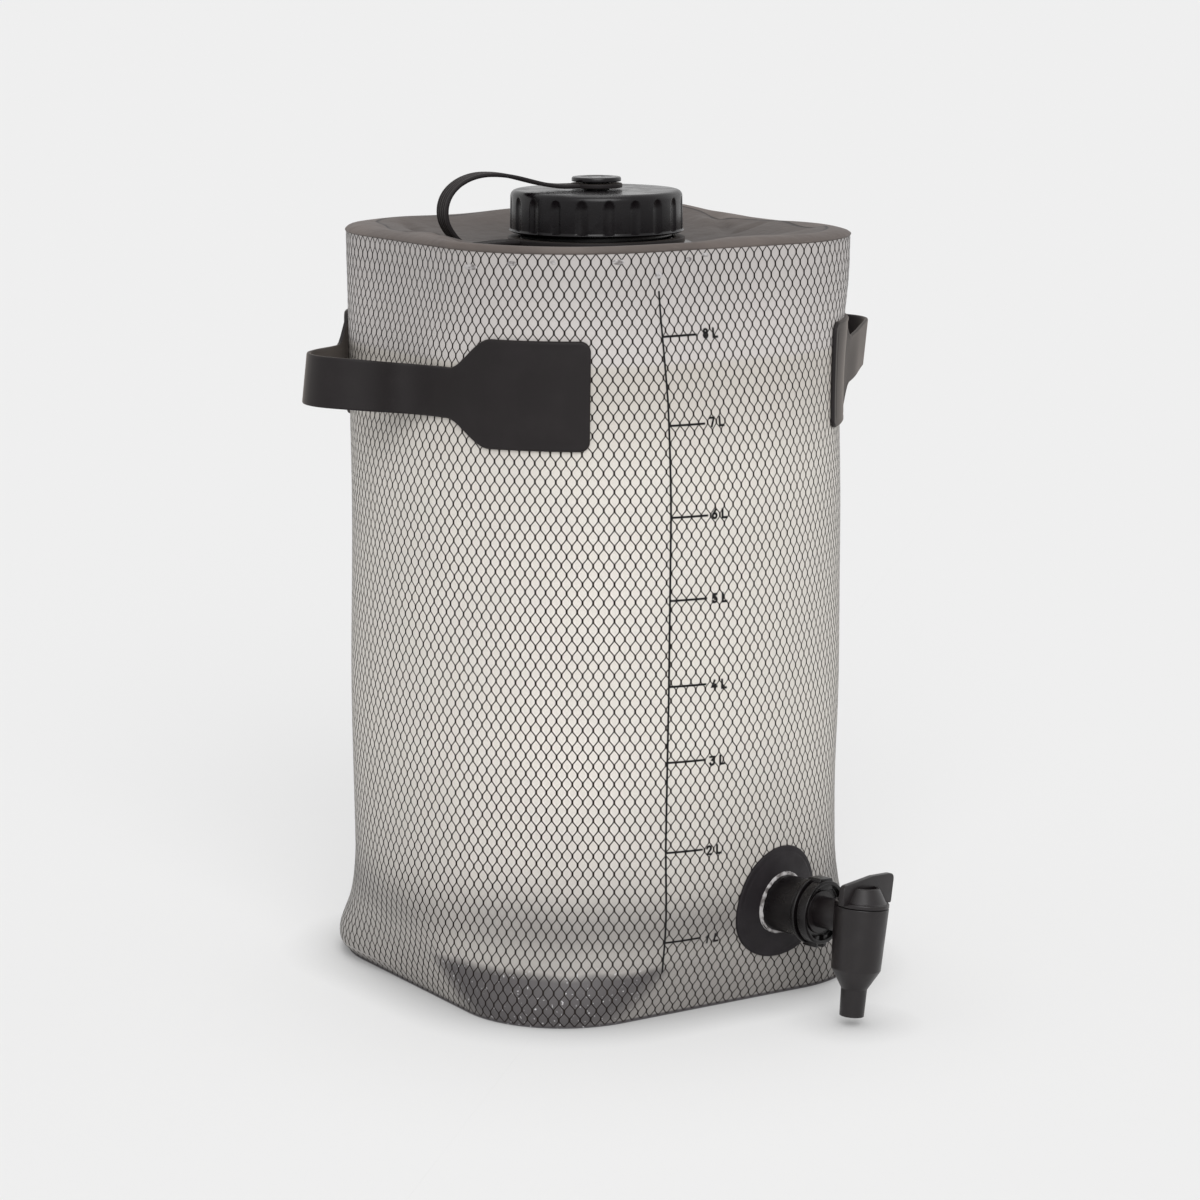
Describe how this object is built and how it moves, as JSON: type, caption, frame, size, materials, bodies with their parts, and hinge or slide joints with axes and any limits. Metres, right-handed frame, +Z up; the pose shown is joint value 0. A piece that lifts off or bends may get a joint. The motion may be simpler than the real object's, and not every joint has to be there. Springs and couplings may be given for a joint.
{
  "type": "soft water container",
  "caption": "Standing soft water bag with a net-reinforced clear wall, tethered wide screw cap, side handles and a dispensing tap.",
  "frame": {"origin": "middle of the flat base, on the surface that the bag stands on", "axes": "+Z up along the cap's axis, handles on +X and -X, tap on the -Y side"},
  "size_m": [0.26, 0.244, 0.3239],
  "materials": {
    "film": "satin translucent film with a moulded-in dark net",
    "panel": "matt coated fabric",
    "strap": "matt flexible plastic",
    "cap": "fine-textured moulded plastic",
    "seal": "soft matt silicone",
    "tap": "fine-textured moulded plastic",
    "weld": "clear weld bead"
  },
  "bodies": {
    "root": {"side_wall": "film", "base_panel": "panel", "top_panel": "panel", "neck": "cap", "tether_ring": "strap", "tether_strap": "strap", "handle_left_front_pad": "strap", "handle_left_rear_pad": "strap", "handle_right_front_pad": "strap", "handle_right_rear_pad": "strap", "tap_patch": "panel", "tap_port": "tap", "port_weld_ring": "weld"},
    "eye": {"tether_eye": "strap"},
    "cap": {"cap_shell": "cap", "cap_seal": "seal", "cap_stud": "cap"},
    "left_loop": {"handle_left_strap": "strap"},
    "right_loop": {"handle_right_strap": "strap"},
    "collar": {"tap_collar": "tap"},
    "tap": {"tap_body": "tap", "port_seal": "seal"},
    "knob": {"tap_knob": "tap", "tap_plug": "tap", "plug_ring": "seal"}
  },
  "joints": [
    {"name": "cap_lift", "type": "slide", "parent": "root", "child": "eye", "axis": [0, 0, 1], "range_m": [0, 0.0064], "deforming": ["tether_strap"]},
    {"name": "cap_turn", "type": "hinge", "parent": "eye", "child": "cap", "pos_m": [0, 0, 0.3], "axis": [0, 0, 1], "range_deg": [0, 540]},
    {"name": "handle_left_lift", "type": "hinge", "parent": "root", "child": "left_loop", "pos_m": [-0.09647, 0, 0.2457], "axis": [0, 1, 0], "range_deg": [-20, 35], "stiffness_Nm_per_rad": 0.05},
    {"name": "handle_right_lift", "type": "hinge", "parent": "root", "child": "right_loop", "pos_m": [0.09647, 0, 0.2457], "axis": [0, -1, 0], "range_deg": [-20, 35], "stiffness_Nm_per_rad": 0.05},
    {"name": "tap_collar_turn", "type": "hinge", "parent": "root", "child": "collar", "pos_m": [0.02503, -0.09542, 0.0404], "axis": [0.2521, -0.9677, 0], "range_deg": [0, 90]},
    {"name": "tap_swivel", "type": "hinge", "parent": "root", "child": "tap", "pos_m": [0.02503, -0.09542, 0.0404], "axis": [0.2521, -0.9677, 0], "range_deg": [-90, 90]},
    {"name": "tap_knob_turn", "type": "hinge", "parent": "tap", "child": "knob", "pos_m": [0.03524, -0.13462, 0.0404], "axis": [0.1179, 0.0307, 0.9925], "range_deg": [0, 90]}
  ],
  "couplings": [
    {"joint": "cap_lift", "follows": "cap_turn", "m_per_rad": 0.00066845}
  ]
}
